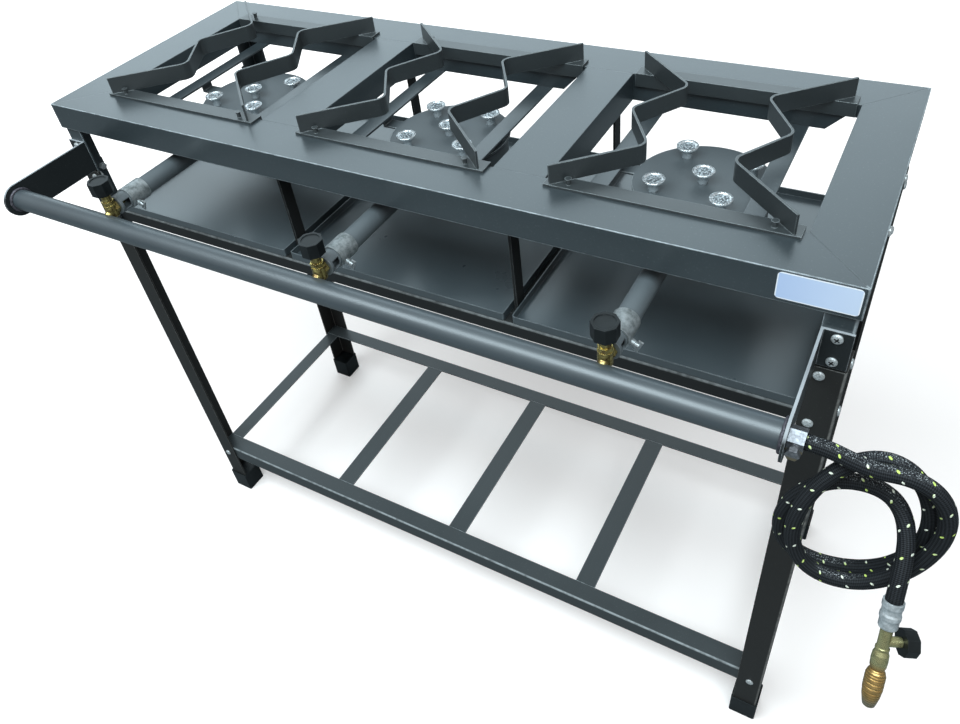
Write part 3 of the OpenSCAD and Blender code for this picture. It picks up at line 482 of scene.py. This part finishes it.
def makeMetal(name):
    s = metalSet[name]
    mat, tree, shader, place = newMaterial(name)
    grain = useGroup(tree, metalGrain, place, Scale=s["scale"])
    edgeMasks = useGroup(tree, edgeWearAndHighlight, place, Radius=platingSet["edgeRadius"])
    spread = remap(tree, grain["Blotch"], *platingSet["blotchRange"])
    base = mixColour(tree, spread, s["dark"], s["colour"])
    if name == "fittingZinc":
        base = brownPlug(tree, place, base)
    light = tuple(min(1, platingSet["edgeLight"] * c) for c in s["colour"])
    base = mixColour(tree, calc(tree, "MULTIPLY", edgeMasks["WornAndLitEdge"], platingSet["edgeShare"]), base, light)
    feed(tree, shader.inputs["Base Color"], base)
    feed(tree, shader.inputs["Roughness"], remap(tree, grain["Scratch"], 0.0, 1.0, *s["rough"]))
    shader.inputs["Metallic"].default_value = s["metal"]
    bumpOn(tree, shader, grain["Scratch"], platingSet["bump"], edgeMasks["Normal"])
    return mat


capSet = {
    "pimples": 400.0, "pit": (0.2, 0.6), "top": (0.7, 0.95),  # the last is how far a face looks up
    "bright": (0.76, 0.82, 0.85), "dark": (0.12, 0.135, 0.145), "rim": (1.0, 1.0, 1.0),
    "rimRadius": 0.0026, "metal": 0.75, "rough": (0.22, 0.5), "bump": (0.7, 0.0005),
}


def makeCapMetal():
    # bright caps with a polished rim, a stamped, pimpled top and smooth stems
    s = capSet
    mat, tree, shader, place = newMaterial("capMetal")
    inputs = {"Vector": place, "Scale": s["pimples"]}
    cells = addNode(tree, "ShaderNodeTexVoronoi", inputs, feature="F1").outputs["Distance"]
    edgeMasks = useGroup(tree, edgeWearAndHighlight, place, Radius=s["rimRadius"])
    top = remap(tree, facingUp(tree), *s["top"])
    inside = calc(tree, "MULTIPLY", top, calc(tree, "SUBTRACT", 1.0, edgeMasks["WornAndLitEdge"]))
    pit = calc(tree, "MULTIPLY", remap(tree, cells, *s["pit"]), inside)
    base = mixColour(tree, pit, s["bright"], s["dark"])
    feed(tree, shader.inputs["Base Color"], mixColour(tree, edgeMasks["WornAndLitEdge"], base, s["rim"]))
    feed(tree, shader.inputs["Roughness"], remap(tree, pit, 0.0, 1.0, *s["rough"]))
    shader.inputs["Metallic"].default_value = s["metal"]
    bumpOn(tree, shader, calc(tree, "SUBTRACT", 1.0, pit), s["bump"], edgeMasks["Normal"])
    return mat


plasticSet = {
    "grain": 1400.0, "smear": 60.0, "smearDetail": 4.0, "smearRange": (0.35, 0.7),
    "black": (0.004, 0.0055, 0.006), "greyed": (0.010, 0.0125, 0.0135), "edge": (0.05, 0.058, 0.062),
    "edgeRadius": 0.0009, "edgeShare": 0.35, "rough": (0.32, 0.5), "shine": 0.3, "bump": (0.15, 0.0002),
}


def makeBlackPlastic():
    # moulded knobs and feet, a little greyed by handling
    s = plasticSet
    mat, tree, shader, place = newMaterial("blackPlastic")
    smear = noise(tree, place, s["smear"], s["smearDetail"])
    edgeMasks = useGroup(tree, edgeWearAndHighlight, place, Radius=s["edgeRadius"])
    base = mixColour(tree, remap(tree, smear, *s["smearRange"]), s["black"], s["greyed"])
    base = mixColour(tree, calc(tree, "MULTIPLY", edgeMasks["WornAndLitEdge"], s["edgeShare"]), base, s["edge"])
    feed(tree, shader.inputs["Base Color"], base)
    feed(tree, shader.inputs["Roughness"], remap(tree, smear, 0.0, 1.0, *s["rough"]))
    shader.inputs["Specular IOR Level"].default_value = s["shine"]
    bumpOn(tree, shader, noise(tree, place, s["grain"]), s["bump"], edgeMasks["Normal"])
    return mat


braidSet = {
    "strands": 8, "pitch": 0.0036,  # the black yarns: round the hose, and metres along it
    "tracers": 1, "tracerPitch": 0.026,  # a light yarn that winds round and shows as dots
    "dots": 5, "dotPitch": 0.11, "dotSize": (0.054, 0.2), "dotEdge": (1.0, 0.6),
    "yarn": (0.0018, 0.0018, 0.0022), "sheen": (0.024, 0.027, 0.031),
    "lime": (0.60, 0.76, 0.18), "white": (0.86, 0.88, 0.74), "tint": 70.0, "tintRange": (0.42, 0.58),
    "speck": (0.45, 0.47, 0.48),  # glints of the yarns that look up
    "glints": 900.0, "glintRange": (0.57, 0.68), "upward": (0.78, 0.96), "glintShare": 0.8,
    "rough": (0.7, 0.45), "shine": 0.2, "bump": (0.9, 0.0006),
}


def helix(tree, u, v, turns, pitch, hand):
    # a phase that grows by one from yarn to yarn
    return calc(tree, "ADD", calc(tree, "DIVIDE", v, pitch), calc(tree, "MULTIPLY", u, float(hand * turns)))


def wave(tree, phase):
    return calc(tree, "SINE", calc(tree, "MULTIPLY", phase, 2 * math.pi))


def offLine(tree, phase, width):
    # nought where the phase is whole, one at the given width from it
    off = calc(tree, "ABSOLUTE", calc(tree, "SUBTRACT", calc(tree, "FRACT", phase), 0.5))
    return calc(tree, "DIVIDE", calc(tree, "SUBTRACT", 0.5, off), width)


def makeBraid():
    s = braidSet
    mat, tree, shader, place = newMaterial("braid")
    u, v = axes(tree, addNode(tree, "ShaderNodeUVMap", uv_map="along").outputs[0])[:2]
    yarns = [wave(tree, helix(tree, u, v, s["strands"], s["pitch"], hand)) for hand in (1, -1)]
    height = remap(tree, calc(tree, "MULTIPLY", *yarns), -1.0, 1.0)
    across = offLine(tree, helix(tree, u, v, s["tracers"], s["tracerPitch"], 1), s["dotSize"][0])
    along = offLine(tree, helix(tree, u, v, s["dots"], s["dotPitch"], -1), s["dotSize"][1])
    off = calc(tree, "ADD", calc(tree, "POWER", across, 2.0), calc(tree, "POWER", along, 2.0))
    dot = remap(tree, off, *s["dotEdge"])
    tint = remap(tree, noise(tree, place, s["tint"], 0.0), *s["tintRange"])
    upward = remap(tree, facingUp(tree), *s["upward"], 0.0, s["glintShare"])
    glint = remap(tree, noise(tree, place, s["glints"], 1.0), *s["glintRange"])
    base = mixColour(tree, height, s["yarn"], s["sheen"])
    base = mixColour(tree, calc(tree, "MULTIPLY", glint, upward), base, s["speck"])
    base = mixColour(tree, dot, base, mixColour(tree, tint, s["lime"], s["white"]))
    feed(tree, shader.inputs["Base Color"], base)
    feed(tree, shader.inputs["Roughness"], remap(tree, height, 0.0, 1.0, *s["rough"]))
    shader.inputs["Specular IOR Level"].default_value = s["shine"]
    bumpOn(tree, shader, calc(tree, "ADD", height, dot), s["bump"])
    return mat


connectorSet = {
    "start": (0.681, -0.307, 0.746),  # where the ferrule begins, and the way the hose end points
    "way": (0.0598, -0.4388, -0.8976),
    "olive": (0.50, 0.47, 0.24), "orange": (0.62, 0.38, 0.13), "stain": (0.15, 0.13, 0.06),
    "change": (0.068, 0.074),  # the orange nose starts this far along
    "tip": (0.106, 0.113), "tipColour": (0.30, 0.30, 0.24), "tipShare": 0.8,  # rubbed grey at its end
    "ring": 0.0027,  # distance between the fine rings turned into the nose
    "ringDark": -0.35, "ringShare": 0.55, "ringRelief": 2.0,
    "scale": 140.0, "stainRange": (0.5, 0.75), "stainShare": 0.8,
    "metal": 0.8, "rough": (0.18, 0.36), "bump": (0.3, 0.0002),
}


def makeConnectorBrass():
    # olive plated brass, with a warmer nose
    s = connectorSet
    mat, tree, shader, place = newMaterial("connectorBrass")
    start, way = Vector(s["start"]), Vector(s["way"])
    inputs = {0: place, 1: way}
    along = addNode(tree, "ShaderNodeVectorMath", inputs, operation="DOT_PRODUCT").outputs["Value"]
    far = calc(tree, "SUBTRACT", along, start.dot(way))
    nose = remap(tree, far, *s["change"])
    grain = useGroup(tree, metalGrain, place, Scale=s["scale"])
    edgeMasks = useGroup(tree, edgeWearAndHighlight, place, Radius=platingSet["edgeRadius"])
    base = mixColour(tree, nose, s["olive"], s["orange"])
    base = mixColour(tree, remap(tree, far, *s["tip"], 0.0, s["tipShare"]), base, s["tipColour"])
    turned = calc(tree, "SINE", calc(tree, "MULTIPLY", far, 2 * math.pi / s["ring"]))
    groove = calc(tree, "MULTIPLY", calc(tree, "LESS_THAN", turned, s["ringDark"]), nose)
    base = mixColour(tree, calc(tree, "MULTIPLY", groove, s["ringShare"]), base, s["stain"])
    stained = remap(tree, grain["Blotch"], *s["stainRange"], 0.0, s["stainShare"])
    feed(tree, shader.inputs["Base Color"], mixColour(tree, stained, base, s["stain"]))
    feed(tree, shader.inputs["Roughness"], remap(tree, grain["Scratch"], 0.0, 1.0, *s["rough"]))
    shader.inputs["Metallic"].default_value = s["metal"]
    relief = calc(tree, "MULTIPLY", calc(tree, "MULTIPLY", turned, nose), s["ringRelief"])
    bumpOn(tree, shader, calc(tree, "ADD", relief, grain["Scratch"]), s["bump"], edgeMasks["Normal"])
    return mat


finishes = {name: makePaint(name) for name in paintSet}
finishes.update({name: makeMetal(name) for name in metalSet})
finishes["capMetal"] = makeCapMetal()
finishes["blackPlastic"] = makeBlackPlastic()
finishes["braid"] = makeBraid()
finishes["connectorBrass"] = makeConnectorBrass()
print("materials ready")


nodeFinish = {  # the longest beginning of a node's name decides
    "frame": "graphite", "burner_straps": "graphite", "leg_stubs": "graphite",
    "grate": "gratePaint", "bracket": "bracketPaint", "manifold": "pipePaint",
    "leg": "legPaint", "shelf": "shelfPaint", "tray": "shadedPaint", "drip_tray": "trayPaint",
    "burner": "burnerPaint", "burner_caps": "capMetal",
    "foot": "blackPlastic", "valve_knob": "blackPlastic", "connector_knob": "blackPlastic",
    "air_shutter": "sleeveZinc", "wing_screw": "wingZinc", "bolts": "zinc",
    "inlet_fitting": "fittingZinc", "hose_ferrule": "ferruleZinc",
    "valve": "brass", "hose_connector": "connectorBrass",
}


def finishOf(name):
    return finishes[nodeFinish[max((k for k in nodeFinish if name.startswith(k)), key=len)]]


for name, obj in nodes.items():
    if name == "gas_hose":
        continue
    obj.data.materials.clear()
    obj.data.materials.append(finishOf(name))
hose.data.materials.append(finishes["braid"])
print("finishes on", len(nodes), "nodes")


def clearSelection():
    if bpy.context.object and bpy.context.object.mode != "OBJECT":
        bpy.ops.object.mode_set(mode="OBJECT")
    bpy.ops.object.select_all(action="DESELECT")


def settle(obj, name, body, material):
    # the mesh takes the object's place, and the piece its body and finish
    clearSelection()
    obj.select_set(True)
    bpy.context.view_layer.objects.active = obj
    bpy.ops.object.transform_apply(location=True, rotation=True, scale=True)
    obj.name = name
    obj.data.materials.clear()
    obj.data.materials.append(material)
    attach(obj, body)


labelSet = {
    "middle": (0.546, -0.13745, 0.941),  # a blank plate on the front skirt
    "width": 0.080, "height": 0.033, "corner": 0.0045, "cornerSteps": 6, "thick": 0.0004,
    "colour": (0.50, 0.62, 0.86), "pale": (0.66, 0.76, 0.93), "rim": (0.90, 0.92, 0.96),
    "rimRange": (-0.0014, -0.0010),  # from its edge
    "grain": 600.0, "rough": (0.3, 0.4), "bump": (0.05, 0.0001),
}


def makeLabelFoil():
    s = labelSet
    mat, tree, shader, place = newMaterial("labelFoil")
    inputs = {"Vector": place, "Location": [-c for c in s["middle"]]}
    where = axes(tree, addNode(tree, "ShaderNodeMapping", inputs).outputs[0])
    across = remap(tree, where[0], -s["width"] / 2, s["width"] / 2)
    farX = calc(tree, "SUBTRACT", calc(tree, "ABSOLUTE", where[0]), s["width"] / 2)
    farZ = calc(tree, "SUBTRACT", calc(tree, "ABSOLUTE", where[2]), s["height"] / 2)
    rim = remap(tree, calc(tree, "MAXIMUM", farX, farZ), *s["rimRange"])
    base = mixColour(tree, across, s["colour"], s["pale"])
    feed(tree, shader.inputs["Base Color"], mixColour(tree, rim, base, s["rim"]))
    grain = noise(tree, place, s["grain"])
    feed(tree, shader.inputs["Roughness"], remap(tree, grain, 0.0, 1.0, *s["rough"]))
    bumpOn(tree, shader, grain, s["bump"])
    return mat


def makeLabel():
    s = labelSet
    clearSelection()
    bpy.ops.mesh.primitive_plane_add(size=1, location=s["middle"], rotation=(math.pi / 2, 0, 0))
    plate = bpy.context.object
    bpy.ops.object.mode_set(mode="EDIT")
    bpy.ops.mesh.select_all(action="SELECT")
    bpy.ops.transform.resize(value=(s["width"], 1, s["height"]))
    bpy.ops.mesh.bevel(offset=s["corner"], affect="VERTICES", segments=s["cornerSteps"])
    bpy.ops.object.mode_set(mode="OBJECT")
    solid = plate.modifiers.new("thick", "SOLIDIFY")
    solid.thickness, solid.offset = s["thick"], 0.0
    bpy.ops.object.modifier_apply(modifier="thick")
    settle(plate, "frontLabel", "frame", makeLabelFoil())


makeLabel()
print("label ready")


crossSet = {
    "x": 0.5725, "z": (0.858, 0.890),  # the upper bolts in front
    "face": -0.140,  # their heads' flat tops
    "length": 0.0064, "width": 0.0015, "depth": 0.0003, "turn": 28,
}


def makeCross(x, z):
    s = crossSet
    clearSelection()
    bpy.ops.mesh.primitive_cube_add(size=1)
    cross = bpy.context.object
    bpy.ops.object.mode_set(mode="EDIT")
    bpy.ops.mesh.select_all(action="SELECT")
    bpy.ops.transform.resize(value=(s["length"], s["depth"], s["width"]))
    bpy.ops.mesh.bevel(offset=s["width"] / 5, segments=2)
    bpy.ops.mesh.select_all(action="SELECT")
    bpy.ops.mesh.duplicate()
    bpy.ops.transform.resize(value=(s["width"] / s["length"], 1, s["length"] / s["width"]))
    bpy.ops.object.mode_set(mode="OBJECT")
    cross.location = (x, s["face"], z)
    cross.rotation_euler = (0, math.radians(s["turn"]), 0)
    return cross


def makeCrosses():
    crosses = [makeCross(side * crossSet["x"], z) for side in (-1, 1) for z in crossSet["z"]]
    clearSelection()
    for cross in crosses:
        cross.select_set(True)
    bpy.context.view_layer.objects.active = crosses[0]
    bpy.ops.object.join()
    settle(crosses[0], "driveRecesses", "frame", finishes["recessDark"])


weldSet = {
    "x": 0.5535, "y": -0.265, "z": 0.874,  # the manifold's ends, welded to the brackets
    "radius": 0.0163, "bead": 0.0024, "segments": (56, 10), "levels": 2,
    "rough": 0.0009,  # how far its ripples are moved
    "ends": (("Left", -1, 4), ("Right", 1, 9)),  # with a seed for each bead's ripples
}


def makeWeld(end, side, seed):
    s = weldSet
    clearSelection()
    bpy.ops.mesh.primitive_torus_add(
        major_segments=s["segments"][0], minor_segments=s["segments"][1],
        major_radius=s["radius"], minor_radius=s["bead"],
        location=(side * s["x"], s["y"], s["z"]), rotation=(0, math.pi / 2, 0))
    bead = bpy.context.object
    bpy.ops.object.mode_set(mode="EDIT")
    bpy.ops.mesh.select_all(action="SELECT")
    bpy.ops.transform.vertex_random(offset=s["rough"], seed=seed)
    bpy.ops.object.mode_set(mode="OBJECT")
    soft = bead.modifiers.new("soft", "SUBSURF")
    soft.levels = soft.render_levels = s["levels"]
    bpy.ops.object.modifier_apply(modifier="soft")
    bpy.ops.object.shade_smooth()
    settle(bead, "weldBead" + end, "frame", finishes["weldMetal"])


makeCrosses()
for end, side, seed in weldSet["ends"]:
    makeWeld(end, side, seed)
print("bolt recesses and weld beads ready")


studioSet = {
    "floor": (0.97, 0.88, 0.84),  # warm enough to come out white under the bluish lamps
    "floorSize": 30, "floorRough": 0.9,
    "mirrored": (0.20, 0.22, 0.23),  # what the steel sees of the floor
    "lift": 0.12,  # lightens the shadows on the floor
    "near": 1.3, "far": 3.4,  # farther out the floor glows, so that it stays white
    "backdrop": (1, 1, 1), "world": (0.35, 0.35, 0.35),  # seen by the camera, and by the steel
    "lights": (  # name, place, looks at, width, height, watts, colour
        ("backPanel", (-1.9, 3.4, 3.0), (-0.1, 0.0, 0.9), 6.5, 3.6, 118, (0.70, 0.90, 1.0)),
        ("topPanel", (0.1, -1.3, 3.3), (0.0, -0.2, 0.9), 4.4, 1.5, 160, (0.78, 0.93, 1.0)),
        ("frontPanel", (0.6, -3.6, 2.4), (0.0, 0.0, 0.5), 2.4, 1.4, 5, (1.0, 1.0, 1.0)),
    ),
}


def seenDirectly(tree):
    return addNode(tree, "ShaderNodeLightPath").outputs["Is Camera Ray"]


def makeFloor():
    s = studioSet
    clearSelection()
    bpy.ops.mesh.primitive_plane_add(size=s["floorSize"], location=(0, 0, 0))
    floor = bpy.context.object
    floor.name = "floor"
    mat, tree, shader, place = newMaterial("floorWhite")
    base = mixColour(tree, seenDirectly(tree), s["mirrored"], s["floor"])
    feed(tree, shader.inputs["Base Color"], base)
    shader.inputs["Roughness"].default_value = s["floorRough"]
    shader.inputs["Specular IOR Level"].default_value = 0.0
    away = addNode(tree, "ShaderNodeVectorMath", {0: place}, operation="LENGTH").outputs["Value"]
    glow = remap(tree, away, s["near"], s["far"], 1.0, 1 / s["lift"])
    feed(tree, shader.inputs["Emission Color"], calc(tree, "MULTIPLY", glow, seenDirectly(tree)))
    shader.inputs["Emission Strength"].default_value = s["lift"]
    floor.data.materials.append(mat)


def makeBackdrop():
    world = bpy.data.worlds.new("softWhite")
    world.use_nodes = True
    tree = world.node_tree
    colour = mixColour(tree, seenDirectly(tree), studioSet["world"], studioSet["backdrop"])
    tree.links.new(colour, tree.nodes["Background"].inputs[0])
    scene.world = world


def makeLights():
    for name, place, aim, width, height, watts, colour in studioSet["lights"]:
        bpy.ops.object.light_add(type="AREA", location=place)
        lamp = bpy.context.object
        lamp.name = name
        lamp.data.shape = "RECTANGLE"
        lamp.data.size, lamp.data.size_y = width, height
        lamp.data.energy = watts
        lamp.data.color = colour
        lamp.rotation_euler = (Vector(aim) - Vector(place)).to_track_quat("-Z", "Y").to_euler()


makeFloor()
makeBackdrop()
makeLights()
scene.view_settings.view_transform = "Standard"
print("studio ready")
